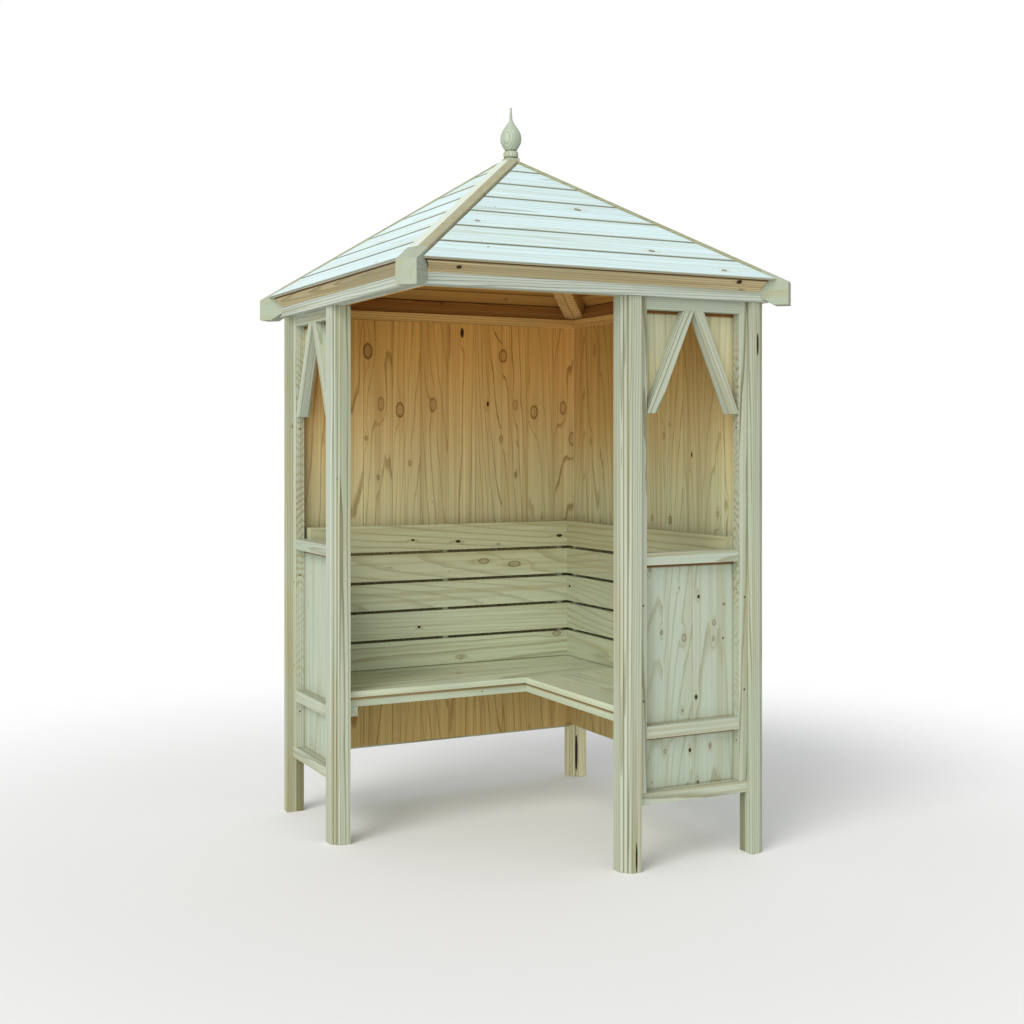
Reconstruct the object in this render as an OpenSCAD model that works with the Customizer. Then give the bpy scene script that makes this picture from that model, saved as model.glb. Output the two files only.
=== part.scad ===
// Corner arbor: a square garden shelter of softwood. Two closed walls meet at the back, two
// half-open panels flank a doorway across the front corner, an L-shaped bench runs round the
// inside, and a pyramid roof of lapped boards carries a turned finial.
// Millimetres, +Z up. The origin is on the ground under the middle of the footprint. The doorway
// corner points toward -X and -Y, the closed corner toward +X and +Y.

/* [Footprint and posts] */

// outside width over the posts, the same both ways
footprint = 1200; // [1100:10:1300]
// side of a square post
post_w = 62; // [56:2:68]
// length of a post, from the ground to the ring beam
post_h = 1725; // [1650:5:1850]
// leg of the chamfer that carries the reeds
chamfer = 28; // [24:1:32]
// depth of the hollow between two reeds
reed_d = 2.6; // [1.5:0.1:3.5]
// how far the front posts stand out in front of the benches' edges
post_cover = 40; // [30:1:50]

/* [Ring beam] */

// width of the ring beam, seen from above
ring_w = 60; // [56:1:66]
// height of the ring beam
ring_h = 32.5; // [28:0.5:38]
// how far the ring beam stands out past the posts
ring_out = 9; // [4:1:12]

/* [Side panels] */

// how far the panel face is set back from the post faces
panel_back = 22; // [16:1:24]
// thickness of the panel frame, front to back
frame_t = 31; // [26:1:34]
// width of a panel stile
stile_w = 32; // [26:1:38]
// height of a panel rail
rail_h = 37; // [32:1:42]
// height of the lower edge of every panel above the ground
panel_z = 191; // [150:1:220]
// how far the top of the lower middle rail lies below the bench rails, which it helps to carry
low_rail_drop = 1.5; // [0:0.5:4]
// top of the arm rail above the ground
arm_z = 951.5; // [920:0.5:980]
// height of the feet of the two slanting brackets
bracket_z = 1374; // [1300:2:1450]
// width of a bracket, measured level
bracket_w = 37; // [30:1:44]

/* [Boarding] */

// thickness of the wall and panel boards
board_t = 12; // [10:0.5:14]
// cover of one wall board
board_pitch = 110.6; // [100:0.2:120]
// width of the groove between two boards
groove_w = 3; // [2:0.5:4]
// depth of the groove between two boards
groove_d = 3; // [2:0.5:5]
// from the ring beam's inner face to the boards of the closed walls
wall_in = 3; // [1:0.5:6]
// thickness of the frame behind the closed walls
wall_frame_t = 40; // [34:1:42]
// how far the wall boards stop above the lower edge of the wall frame
wall_lift = 8; // [4:1:14]
// width of the last wall board, next to the closed corner
corner_board = 87; // [50:1:100]

/* [Bench] */

// height of the seat above the ground
seat_h = 480; // [450:5:500]
// thickness of the seat boards
seat_t = 20; // [18:1:24]
// depth of the bench, from the wall boards to the front edge
seat_deep = 439; // [420:1:455]
// number of seat boards side by side
seat_n = 4; // [3:1:5]
// gap between two seat boards
seat_gap = 2; // [1:0.5:3]
// height of the bench rails and of the ledgers under them
bearer_h = 31; // [26:1:36]
// width of the ledgers
ledger_w = 39; // [32:1:44]
// how far the front rail is set back from the seat edge
apron_in = 6; // [3:1:12]

/* [Seat back] */

// from the wall boards to the front of the back slats
back_deep = 68; // [56:1:76]
// thickness of a back slat
slat_t = 20; // [16:1:22]
// top of the seat back above the ground
back_top = 990; // [960:2:1010]
// number of back slats on each wall
slat_n = 5; // [4:1:6]
// gap between two back slats
slat_gap = 10; // [6:1:14]
// gap between the seat and the lowest back slat
back_lift = 2; // [1:0.5:10]
// width of the upright battens behind the slats
back_batten_w = 20; // [16:1:30]

/* [Roof] */

// slope of the roof in degrees
pitch = 34.5; // [33:0.5:36]
// how far the lowest course stands out past the ring beam
eaves_out = 32; // [26:1:36]
// thickness of a roof board
roof_t = 12; // [10:0.5:14]
// cover of one course, measured level
course_r = 90.8; // [84:0.2:96]
// thickness of the lip that laps over the course below
lip_t = 6; // [5:0.5:7]
// gap that shows as a shadow line under each lip
lip_gap = 3; // [2:0.5:4]
// how much thinner a board is at its upper edge
board_taper = 1.6; // [0:0.2:2]
// height of the eaves batten, square to the roof
eaves_h = 40.8; // [36:0.2:46]
// width of the eaves batten
eaves_w = 38; // [32:1:42]
// width of a hip rafter; two lie side by side under each hip
rafter_w = 35; // [33:0.5:40]
// upright depth of a hip rafter, from the meeting line of the boards' undersides
rafter_h = 80; // [70:1:90]
// gap between the two rafters of a hip
rafter_gap = 2; // [0.5:0.5:4]

/* [Hips and finial] */

// width of the hip caps and hip tails
hip_w = 62; // [56:2:68]
// how far the ridge line of a hip cap lies above the meeting line of the boards' undersides
hip_rise = 8.6; // [6:0.2:12]
// fall of each bevelled face, from the ridge line to the edge of the cap
hip_fall = 4; // [2:0.5:6]
// how far the tip of a hip tail stands out past the ring beam, along X and along Y
tail_out = 39; // [32:1:46]
// how far a hip tail hangs below the ring beam
tail_drop = 10; // [5:1:16]
// level length of the underside of a hip tail, from the tip
tail_flat = 43; // [36:1:48]
// slope of the chamfer behind it in degrees
tail_angle = 28; // [20:1:40]
// side of the square block at the top of the roof
apex_w = 44; // [40:1:50]
// height of that block
apex_h = 100; // [90:2:120]
// how far its top lies below the meeting point of the hip caps' ridge lines
apex_drop = 4; // [2:0.5:8]

/* [Finial] */

// height of the finial
finial_h = 170; // [160:2:200]
// largest diameter of the finial
finial_d = 70; // [60:1:76]
// diameter of the collar at its foot
collar_d = 50; // [44:1:56]
// height of the collar
collar_h = 24; // [18:1:26]
// diameter of the foot of the bulb, on the collar
bulb_foot_d = 34; // [28:1:40]
// height of the widest place of the bulb
bulb_z = 63; // [50:1:70]
// height at which the bulb has narrowed to the neck
neck_z = 134; // [120:1:140]
// diameter of the neck there
neck_d = 10; // [8:0.5:14]
// diameter of the ball at the tip
ball_d = 8; // [7:0.5:10]

/* [Hidden] */

// clearance left where two pieces seat on each other
fit = 0.1;
// a length that cuts right through any piece, and a short way past a face
big = 4000;
over = 1;

half = footprint / 2;
post_in = half - post_w;
panel_y = half - panel_back;
panel_boards_y = panel_y - frame_t;
panel_in = panel_boards_y - board_t;

ring_o = half + ring_out;
ring_i = ring_o - ring_w;
ring_top = post_h + ring_h;

wall_y = ring_i + wall_in;
wall_board_y = wall_y + board_t;
wall_out = wall_board_y + wall_frame_t;

seat_front = wall_y - seat_deep;
door_x = seat_front - post_cover;
panel_x0 = door_x + post_w;
seat_low = seat_h - seat_t;
rail_low = seat_low - bearer_h;
ledger_low = rail_low - bearer_h;
low_rail_z = rail_low - low_rail_drop;
back_front = wall_y - back_deep;
back_behind = back_front + slat_t;
back_low = seat_h + back_lift;
slat_h = (back_top - back_low - (slat_n - 1) * slat_gap) / slat_n;

slope = tan(pitch);
hip_slope = slope / sqrt(2);
hip_angle = atan(hip_slope);
eaves_r = ring_o + eaves_out;
eaves_top_r = ring_o + eaves_h * sin(pitch);
// height at which the undersides of the four roof sides would meet over the middle
peak_z = ring_top + eaves_h * cos(pitch) + eaves_top_r * slope;
hip_z = peak_z + hip_rise;
apex_z = hip_z - apex_drop;
deck_len = eaves_r / cos(pitch);
course_v = course_r / cos(pitch);
// the top course is never lower than this
top_course = 40;
course_n = floor((deck_len - top_course) / course_v) + 1;
// length of the tongue under a lip, and of the lip itself
tongue = 7;
lip_len = 9;
// gap between the hip caps and the ends of the roof boards at their underside
board_gap = 0.5;
boards_t = hip_w / 2 + board_gap;
// from the hip line to the outer side of a hip rafter, where the eaves battens begin
rafter_t = rafter_gap / 2 + rafter_w;
eaves_t = rafter_t + fit;

wood = [0.80, 0.79, 0.68];
wood_warm = [0.70, 0.55, 0.36];
wood_roof = [0.90, 0.91, 0.86];
wood_cap = [0.78, 0.77, 0.64];

// the same piece on the other side of the line x = y, about which the plan is mirrored
module other_side() {
    mirror([1, -1, 0]) children();
}

// a bar along X
module bar(x0, x1, y0, y1, z0, z1) {
    translate([x0, y0, z0]) cube([x1 - x0, y1 - y0, z1 - z0]);
}

// Posts

// plan of a post whose reeded corner points toward -X and -Y, the square corner at post_w, post_w
reed_steps = 6;
function chamfer_at(k, out) = [chamfer * k - out / sqrt(2), chamfer * (1 - k) - out / sqrt(2)];
function reed_bulge(u) = -reed_d * (1 - sqrt(max(0, 1 - (2 * u - 1) * (2 * u - 1))));

module post_plan() {
    polygon(concat(
        [[post_w, 0], [post_w, post_w], [0, post_w]],
        [for (i = [0 : 2]) for (j = [0 : reed_steps])
            if (j > 0 || i == 0) chamfer_at((i + j / reed_steps) / 3, reed_bulge(j / reed_steps))]));
}

module post_at(x, y, turn) {
    color(wood) translate([x, y, 0]) rotate([0, 0, turn]) translate([-post_w / 2, -post_w / 2, 0])
        linear_extrude(height = post_h) post_plan();
}

post_mid = half - post_w / 2;
module post_left() { post_at(-post_mid, post_mid, -90); }
module post_back() { post_at(post_mid, post_mid, 0); }
module post_right() { post_at(post_mid, -post_mid, 90); }
module post_front_left() { post_at(-post_mid, door_x + post_w / 2, 0); }
module post_front_right() { post_at(door_x + post_w / 2, -post_mid, 0); }

// Ring beam: four mitred lengths, the front one at -Y

module ring_length() {
    color(wood) translate([0, 0, post_h]) linear_extrude(height = ring_h)
        polygon([[-ring_o, -ring_o], [ring_o, -ring_o], [ring_i, -ring_i], [-ring_i, -ring_i]]);
}

module ring_front() { ring_length(); }
module ring_side() { rotate([0, 0, 90]) ring_length(); }
module ring_back() { rotate([0, 0, 180]) ring_length(); }
module ring_left() { rotate([0, 0, 270]) ring_length(); }

// Boarding: one board wall with grooves on its inner face

// plan of boards from x0 to x1 with their grooved face at y = 0 and their back at y = board_t;
// g0 is one of the joints between two boards
narrowest = 6;
module board_plan(x0, x1, g0) {
    first = ceil((x0 + narrowest - g0) / board_pitch);
    last = floor((x1 - narrowest - g0) / board_pitch);
    difference() {
        translate([x0, 0]) square([x1 - x0, board_t]);
        for (k = [first : last])
            let (g = g0 + k * board_pitch)
                polygon([[g - groove_w / 2, -over], [g + groove_w / 2, -over],
                    [g + groove_w / 2, 0], [g, groove_d], [g - groove_w / 2, 0]]);
    }
}

// Closed walls, wall A at +Y

module wall_frame() {
    rail_end = post_in - rail_h - fit;
    color(wood) {
        for (x = [-post_in, post_in - rail_h])
            bar(x, x + rail_h, wall_board_y, wall_out, panel_z, post_h);
        for (z = [panel_z, arm_z - rail_h, post_h - rail_h])
            bar(-rail_end, rail_end, wall_board_y, wall_out, z, z + rail_h);
    }
}

// the last board is mitred against the other wall and bevelled to lie on the reeded face of the
// back post
reed_line = 2 * post_in + chamfer;
module wall_boards() {
    color(wood_warm) translate([0, 0, panel_z + wall_lift])
        linear_extrude(height = post_h - panel_z - wall_lift) intersection() {
            translate([0, wall_y]) board_plan(-post_in, wall_board_y, wall_y - corner_board);
            polygon([[-post_in, 0], [0, 0], [reed_line / 2, reed_line / 2],
                [reed_line - wall_board_y, wall_board_y], [-post_in, wall_board_y]]);
        }
}

module wall_a_frame() { wall_frame(); }
module wall_a_boards() { wall_boards(); }
module wall_b_frame() { other_side() wall_frame(); }
module wall_b_boards() { other_side() wall_boards(); }

// Side panels, the right one at -Y between the front right post and the right post

panel_stile_x0 = panel_x0 + stile_w;
panel_stile_x1 = post_in - stile_w;
panel_mid = (panel_x0 + post_in) / 2;
panel_top_z = post_h - rail_h;

module panel_bar(x0, x1, z0, z1) {
    bar(x0, x1, -panel_y, -panel_boards_y, z0, z1);
}

module panel_stiles() {
    color(wood) {
        panel_bar(panel_x0, panel_stile_x0, panel_z + rail_h, post_h);
        panel_bar(panel_stile_x1, post_in, panel_z + rail_h, post_h);
    }
}

module panel_top_rail() {
    color(wood) panel_bar(panel_stile_x0, panel_stile_x1, panel_top_z, post_h);
}

module panel_arm_rail() {
    color(wood) panel_bar(panel_stile_x0, panel_stile_x1, arm_z - rail_h, arm_z);
}

module panel_lower_rails() {
    color(wood) {
        panel_bar(panel_stile_x0, panel_stile_x1, low_rail_z - rail_h, low_rail_z);
        panel_bar(panel_x0, post_in, panel_z, panel_z + rail_h);
    }
}

module panel_boards() {
    color(wood) translate([0, -panel_boards_y, panel_z]) linear_extrude(height = arm_z - panel_z)
        board_plan(panel_x0, post_in, panel_x0);
}

// bracket seen from the front: a slanting bar from the stile up to the middle of the top rail
module bracket_face() {
    polygon([[panel_stile_x0, bracket_z], [panel_stile_x0 + bracket_w, bracket_z],
        [panel_mid, panel_top_z], [panel_mid - bracket_w, panel_top_z]]);
}

// solid between two depths from a face drawn in X and Z
module upright(y_front, y_behind) {
    translate([0, y_behind, 0]) rotate([90, 0, 0]) linear_extrude(height = y_behind - y_front)
        children();
}

module both_halves() {
    children();
    translate([2 * panel_mid, 0, 0]) mirror([1, 0, 0]) children();
}

module panel_brackets() {
    color(wood) both_halves() upright(-panel_y, -panel_boards_y) bracket_face();
}

module panel_spandrels() {
    color(wood) both_halves() upright(-panel_boards_y, -panel_in)
        polygon([[panel_x0, bracket_z], [panel_stile_x0 + bracket_w / 2, bracket_z],
            [panel_mid - bracket_w / 2, panel_top_z], [panel_mid - bracket_w / 2, post_h],
            [panel_x0, post_h]]);
}

module panel_r_stiles() { panel_stiles(); }
module panel_r_top_rail() { panel_top_rail(); }
module panel_r_arm_rail() { panel_arm_rail(); }
module panel_r_lower_rails() { panel_lower_rails(); }
module panel_r_boards() { panel_boards(); }
module panel_r_brackets() { panel_brackets(); }
module panel_r_spandrels() { panel_spandrels(); }
module panel_l_stiles() { other_side() panel_stiles(); }
module panel_l_top_rail() { other_side() panel_top_rail(); }
module panel_l_arm_rail() { other_side() panel_arm_rail(); }
module panel_l_lower_rails() { other_side() panel_lower_rails(); }
module panel_l_boards() { other_side() panel_boards(); }
module panel_l_brackets() { other_side() panel_brackets(); }
module panel_l_spandrels() { other_side() panel_spandrels(); }

// Bench: A runs along +Y into the corner, B along +X butts against it

seat_board_w = (seat_deep - (seat_n - 1) * seat_gap) / seat_n;
apron_y = seat_front + apron_in;

module seat_a_boards() {
    color(wood) for (i = [0 : seat_n - 1])
        let (y = seat_front + i * (seat_board_w + seat_gap))
            bar(-panel_in, wall_y, y, y + seat_board_w, seat_low, seat_h);
}

module seat_b_boards() {
    color(wood) for (i = [0 : seat_n - 1])
        let (x = seat_front + i * (seat_board_w + seat_gap))
            bar(x, x + seat_board_w, -panel_in, seat_front - seat_gap, seat_low, seat_h);
}

// a fixed frame under each bench: front rail, back rail and cross pieces between them
cross_0 = apron_y + bearer_h + fit;
cross_1 = wall_y - bearer_h - fit;
module bench_rails(end) {
    for (y = [apron_y, wall_y - bearer_h])
        bar(-panel_in, end, y, y + bearer_h, rail_low, seat_low);
}

module seat_a_frame() {
    color(wood) {
        bench_rails(wall_y);
        for (x = [-panel_in, -bearer_h / 2, wall_y - bearer_h])
            bar(x, x + bearer_h, cross_0, cross_1, rail_low, seat_low);
    }
}

module seat_b_frame() {
    color(wood) other_side() {
        bench_rails(apron_y - fit);
        for (x = [-panel_in, (apron_y - panel_in - bearer_h) / 2])
            bar(x, x + bearer_h, cross_0, cross_1, rail_low, seat_low);
    }
}

// ledgers: one on the side panel and one along the wall
module ledger_pair(wall_end) {
    bar(-panel_in, -panel_in + ledger_w, apron_y, wall_y, ledger_low, rail_low);
    bar(-panel_in + ledger_w + fit, wall_end, wall_y - ledger_w, wall_y, ledger_low, rail_low);
}

module seat_ledgers_a() { color(wood) ledger_pair(wall_y); }
module seat_ledgers_b() { color(wood) other_side() ledger_pair(wall_y - ledger_w - fit); }

// Seat back

module slats(end) {
    for (i = [0 : slat_n - 1])
        let (z = back_low + i * (slat_h + slat_gap))
            bar(-panel_in, end, back_front, back_behind, z, z + slat_h);
}

module back_slats_a() { color(wood) slats(back_behind); }
module back_slats_b() { color(wood) other_side() slats(back_front); }

module back_uprights() {
    for (x = [-panel_in, -back_batten_w, back_front - 1.5 * back_batten_w])
        bar(x, x + back_batten_w, back_behind, wall_y, seat_h, back_top);
}

module back_battens_a() { color(wood) back_uprights(); }
module back_battens_b() { color(wood) other_side() back_uprights(); }

// Roof

// stands a shape drawn in the roof's own plane on the front slope: its X stays X, its Y runs up
// the slope from the eaves toward the middle, its Z is square to the boards with zero at their
// underside
module on_slope() {
    translate([0, 0, peak_z]) rotate([pitch, 0, 0]) children();
}

// outline of one roof side in its own plane, the hip edges set back by t from the hip lines,
// from v0 to v1 below the peak
module side_outline(t, v0, v1) {
    a0 = v0 * cos(pitch) - t * sqrt(2);
    a1 = v1 * cos(pitch) - t * sqrt(2);
    top = t * sqrt(2) / cos(pitch);
    if (a0 <= 0)
        polygon([[-a1, -v1], [a1, -v1], [0, -top]]);
    else
        polygon([[-a1, -v1], [a1, -v1], [a0, -v0], [-a0, -v0]]);
}

// section of one lapped course: v_up and v_low are the lower edges of the lips above and below
module course_section(v_up, v_low) {
    polygon([[-(v_low - lip_len), 0], [-(v_low - lip_len), roof_t - lip_t],
        [-v_low, roof_t - lip_t], [-v_low, roof_t],
        [-(v_up + lip_gap), roof_t - board_taper], [-(v_up + lip_gap), roof_t - lip_t],
        [-(v_up - tongue), roof_t - lip_t], [-(v_up - tongue), 0]]);
}

module roof_boards() {
    color(wood_roof) on_slope() intersection() {
        rotate([90, 0, 90]) linear_extrude(height = 2 * eaves_r, center = true)
            for (i = [0 : course_n - 1])
                let (v_low = deck_len - i * course_v)
                    course_section(max(v_low - course_v, tongue), v_low);
        translate([0, 0, -over]) linear_extrude(height = roof_t + 2 * over)
            side_outline(boards_t, 0, deck_len);
    }
}

eaves_inner_v = eaves_top_r / cos(pitch) - eaves_w;

// leaning batten on the ring beam: its outer face is square to the roof, its foot is cut level
eaves_seat = ring_o - eaves_w * cos(pitch);
module eaves_section() {
    polygon([[-ring_o, ring_top], [-eaves_top_r, peak_z - eaves_top_r * slope],
        [-eaves_inner_v * cos(pitch), peak_z - eaves_inner_v * sin(pitch)],
        [-eaves_seat, ring_top + eaves_w * sin(pitch)], [-eaves_seat, ring_top]]);
}

module eaves_batten() {
    color(wood_warm) intersection() {
        rotate([90, 0, 90]) linear_extrude(height = 2 * eaves_r, center = true) eaves_section();
        linear_extrude(height = big)
            polygon([[eaves_t * sqrt(2) - eaves_r, -eaves_r], [eaves_r - eaves_t * sqrt(2), -eaves_r],
                [0, -eaves_t * sqrt(2)]]);
    }
}

// section of a hip cap across the hip: two bevelled faces over a hollow foot that lies on the
// two hip rafters
cap_half = hip_w / 2;
cap_k = cos(hip_angle);
cap_foot = hip_rise + cap_half * hip_slope;
module cap_section() {
    polygon([[0, 0], [cap_half, -hip_fall * cap_k], [cap_half, -cap_foot * cap_k],
        [0, -hip_rise * cap_k], [-cap_half, -cap_foot * cap_k], [-cap_half, -hip_fall * cap_k]]);
}

// the same two bevelled faces over a deep body, for the tail
module tail_section() {
    polygon([[0, 0], [cap_half, -hip_fall * cap_k], [cap_half, -big / 4],
        [-cap_half, -big / 4], [-cap_half, -hip_fall * cap_k]]);
}

// turns what points along +X to the doorway corner
module to_corner() {
    rotate([0, 0, 225]) children();
}

// a section swept along the hip over the doorway corner
module along_hip() {
    translate([0, 0, hip_z]) to_corner() rotate([0, hip_angle, 0]) rotate([90, 0, 90])
        linear_extrude(height = big / 2) children();
}

// a hip rafter's section, on the side of the front slope; its top is bevelled to the boards
module rafter_section() {
    t = rafter_gap / 2;
    polygon([[t, -(hip_rise + t * hip_slope) * cap_k],
        [rafter_t, -(hip_rise + rafter_t * hip_slope) * cap_k],
        [rafter_t, -(hip_rise + rafter_h) * cap_k], [t, -(hip_rise + rafter_h) * cap_k]]);
}

// the two hip rafters of the front slope: each runs from the apex block down to the hip tail, is
// cut level to sit on the ring beam, and is mitred against the other one beside the apex block
module hip_rafters() {
    color(wood_warm) for (side = [0, 1])
        mirror([side, 0, 0]) difference() {
            intersection() {
                along_hip() rafter_section();
                bar(-eaves_r, -fit / 2, -eaves_r, 0, ring_top, big);
                to_corner() bar(0, tail_back - fit, -hip_w, hip_w, 0, big);
            }
            bar(-apex_w / 2 - fit, 0, -apex_w / 2 - fit, 0, 0, big);
        }
}

// hip piece over the doorway corner: from the apex block to the back of the tail
tail_tip = (ring_o + tail_out) * sqrt(2);
tail_back = ring_o * sqrt(2) - cap_half;
tail_z = post_h - tail_drop;
module hip_cap() {
    color(wood_cap) difference() {
        intersection() {
            along_hip() cap_section();
            bar(-eaves_r, 0, -eaves_r, 0, 0, big);
            to_corner() bar(0, tail_back - fit, -hip_w, hip_w, 0, big);
        }
        bar(-apex_w / 2 - fit, apex_w / 2, -apex_w / 2 - fit, apex_w / 2, 0, big);
    }
}

// tail block at the foot of a hip, notched over the corner of the ring beam
module hip_tail() {
    color(wood_cap) difference() {
        intersection() {
            to_corner() bar(tail_back, tail_tip, -cap_half, cap_half, tail_z, hip_z);
            along_hip() tail_section();
        }
        bar(-ring_o - fit, 0, -ring_o - fit, 0, 0, ring_top + fit);
        to_corner() translate([tail_tip - tail_flat, 0, tail_z]) rotate([0, tail_angle, 0])
            bar(-hip_w, 0, -hip_w, hip_w, -hip_w, 0);
    }
}

module roof_boards_front() { roof_boards(); }
module roof_boards_side() { rotate([0, 0, 90]) roof_boards(); }
module roof_boards_back() { rotate([0, 0, 180]) roof_boards(); }
module roof_boards_left() { rotate([0, 0, 270]) roof_boards(); }
module hip_rafters_front() { hip_rafters(); }
module hip_rafters_side() { rotate([0, 0, 90]) hip_rafters(); }
module hip_rafters_back() { rotate([0, 0, 180]) hip_rafters(); }
module hip_rafters_left() { rotate([0, 0, 270]) hip_rafters(); }
module eaves_batten_front() { eaves_batten(); }
module eaves_batten_side() { rotate([0, 0, 90]) eaves_batten(); }
module eaves_batten_back() { rotate([0, 0, 180]) eaves_batten(); }
module eaves_batten_left() { rotate([0, 0, 270]) eaves_batten(); }
module hip_cap_front() { hip_cap(); }
module hip_cap_right() { rotate([0, 0, 90]) hip_cap(); }
module hip_cap_back() { rotate([0, 0, 180]) hip_cap(); }
module hip_cap_left() { rotate([0, 0, 270]) hip_cap(); }
module hip_tail_front() { hip_tail(); }
module hip_tail_right() { rotate([0, 0, 90]) hip_tail(); }
module hip_tail_back() { rotate([0, 0, 180]) hip_tail(); }
module hip_tail_left() { rotate([0, 0, 270]) hip_tail(); }

module apex_block() {
    color(wood_cap) bar(-apex_w / 2, apex_w / 2, -apex_w / 2, apex_w / 2, apex_z - apex_h, apex_z);
}

// Finial: turned in one piece

// the collar's rounding, and the power that keeps the shoulder of the bulb full
collar_round = 4;
shoulder = 1.25;
turn_steps = 8;

function collar_at(u) = [collar_d / 2 - collar_round * (1 - sqrt(1 - (2 * u - 1) * (2 * u - 1))),
    u * collar_h];
function bulb_low_at(u) = [(bulb_foot_d + (finial_d - bulb_foot_d) * sin(90 * u)) / 2,
    collar_h + (bulb_z - collar_h) * u];
function bulb_high_at(u) = [
    (neck_d + (finial_d - neck_d) * (1 + cos(180 * pow(u, shoulder))) / 2) / 2,
    bulb_z + (neck_z - bulb_z) * u];
function ball_at(u) = [ball_d / 2 * sin(180 * u), finial_h - ball_d / 2 * (1 + cos(180 * u))];

module finial() {
    color(wood_cap) translate([0, 0, apex_z]) rotate_extrude($fn = 48)
        polygon(concat([[0, 0]],
            [for (i = [0 : turn_steps]) collar_at(i / turn_steps)],
            [for (i = [0 : turn_steps]) bulb_low_at(i / turn_steps)],
            [for (i = [1 : 2 * turn_steps]) bulb_high_at(i / (2 * turn_steps))],
            // the ball starts where the narrowing neck meets it
            [for (i = [2 : turn_steps]) ball_at(i / turn_steps)]));
}

post_left();
post_back();
post_right();
post_front_left();
post_front_right();
ring_front();
ring_left();
ring_back();
ring_side();
wall_a_frame();
wall_a_boards();
wall_b_frame();
wall_b_boards();
panel_r_stiles();
panel_r_top_rail();
panel_r_arm_rail();
panel_r_lower_rails();
panel_r_boards();
panel_r_brackets();
panel_r_spandrels();
panel_l_stiles();
panel_l_top_rail();
panel_l_arm_rail();
panel_l_lower_rails();
panel_l_boards();
panel_l_brackets();
panel_l_spandrels();
seat_a_boards();
seat_b_boards();
seat_a_frame();
seat_b_frame();
seat_ledgers_a();
seat_ledgers_b();
back_slats_a();
back_slats_b();
back_battens_a();
back_battens_b();
roof_boards_front();
roof_boards_left();
roof_boards_back();
roof_boards_side();
hip_rafters_front();
hip_rafters_left();
hip_rafters_back();
hip_rafters_side();
eaves_batten_front();
eaves_batten_left();
eaves_batten_back();
eaves_batten_side();
hip_cap_front();
hip_cap_right();
hip_cap_back();
hip_cap_left();
hip_tail_front();
hip_tail_right();
hip_tail_back();
hip_tail_left();
apex_block();
finial();
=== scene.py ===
# %% [markdown]
# # A corner arbor in pale softwood
#
# A square garden shelter: five reeded posts, two boarded walls, two half-open side panels, a
# bench round the inside and a pyramid roof of lapped boards with a turned finial.
#
# The shapes come from the CAD model, already in metres and in its own frame: +Z up, the origin on
# the ground under the middle, the doorway corner toward -X and -Y. To build them here again would
# give a second set of sizes to keep in step, so this script only dresses them. It gives every piece
# its wood, adds the screws and nails, and sets up the camera and the light.

# %% Load the built pieces
import math

import bpy
import numpy as np
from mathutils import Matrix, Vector


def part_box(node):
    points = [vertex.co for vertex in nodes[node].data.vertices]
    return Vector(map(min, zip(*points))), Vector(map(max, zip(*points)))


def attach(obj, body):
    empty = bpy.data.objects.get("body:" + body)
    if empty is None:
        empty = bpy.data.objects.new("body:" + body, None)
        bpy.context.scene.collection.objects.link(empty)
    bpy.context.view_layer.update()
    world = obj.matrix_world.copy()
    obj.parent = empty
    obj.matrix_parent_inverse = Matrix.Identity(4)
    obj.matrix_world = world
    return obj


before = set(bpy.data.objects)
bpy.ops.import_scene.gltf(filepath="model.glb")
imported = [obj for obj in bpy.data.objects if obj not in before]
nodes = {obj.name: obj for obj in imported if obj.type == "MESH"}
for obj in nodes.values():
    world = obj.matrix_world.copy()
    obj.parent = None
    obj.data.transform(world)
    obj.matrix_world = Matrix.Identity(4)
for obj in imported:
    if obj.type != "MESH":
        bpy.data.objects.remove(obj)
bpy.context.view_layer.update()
print("pieces:", len(nodes))

# %% [markdown]
# ## Camera
#
# The picture was taken from about chest height, a little under five metres from the middle of the
# arbor, and all uprights in it are parallel. A camera tilted to get the roof in would make the
# posts lean together. A level one with its lens shifted doesn't, which is how houses are
# photographed, so this camera is level. The place, the turn and the lens were solved from some
# seventy corners and edges measured in the picture. The lens and its centre are in picture points.

# %% Camera
PICTURE = 1024
LENS = 1409.65
LENS_CENTRE = (508.13, 443.31)
EYE = (-2.1246, -4.1826, 1.2833)
TURN = -26.818
LEVEL = 90.0
FILM_WIDTH = 36.0
SEES_FROM, SEES_TO = 0.1, 60.0


def placed(name, data):
    """A new object in the scene, made of that data."""
    made = bpy.data.objects.new(name, data)
    bpy.context.scene.collection.objects.link(made)
    return made


camera_data = bpy.data.cameras.new("camera")
camera_data.sensor_width = FILM_WIDTH
camera_data.lens = LENS / PICTURE * FILM_WIDTH
camera_data.shift_x = 0.5 - LENS_CENTRE[0] / PICTURE
camera_data.shift_y = LENS_CENTRE[1] / PICTURE - 0.5
camera_data.clip_start = SEES_FROM
camera_data.clip_end = SEES_TO
camera = placed("camera", camera_data)
camera.location = EYE
camera.rotation_euler = (math.radians(LEVEL), 0.0, math.radians(TURN))
bpy.context.scene.camera = camera
bpy.context.scene.view_settings.view_transform = "Standard"
print("lens:", round(camera_data.lens, 2), "mm, shift:", round(camera_data.shift_y, 4))

# %% [markdown]
# ## Writing nodes as arithmetic
#
# A wood finish is mostly arithmetic on where a point lies. Its nodes could be added one by one,
# each with its links, but then nobody sees the formula. `Value` wraps a socket, so that `+`, `-`,
# `*` and `/` add the Math nodes and the formula stays in sight.

# %% Values
def operator(operation, swapped=False):
    """A method that adds one Math node; swapped is for where the value stands on the right."""
    def method(self, other):
        pair = (other, self) if swapped else (self, other)
        return self.tree.math(operation, *pair)
    return method


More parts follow.
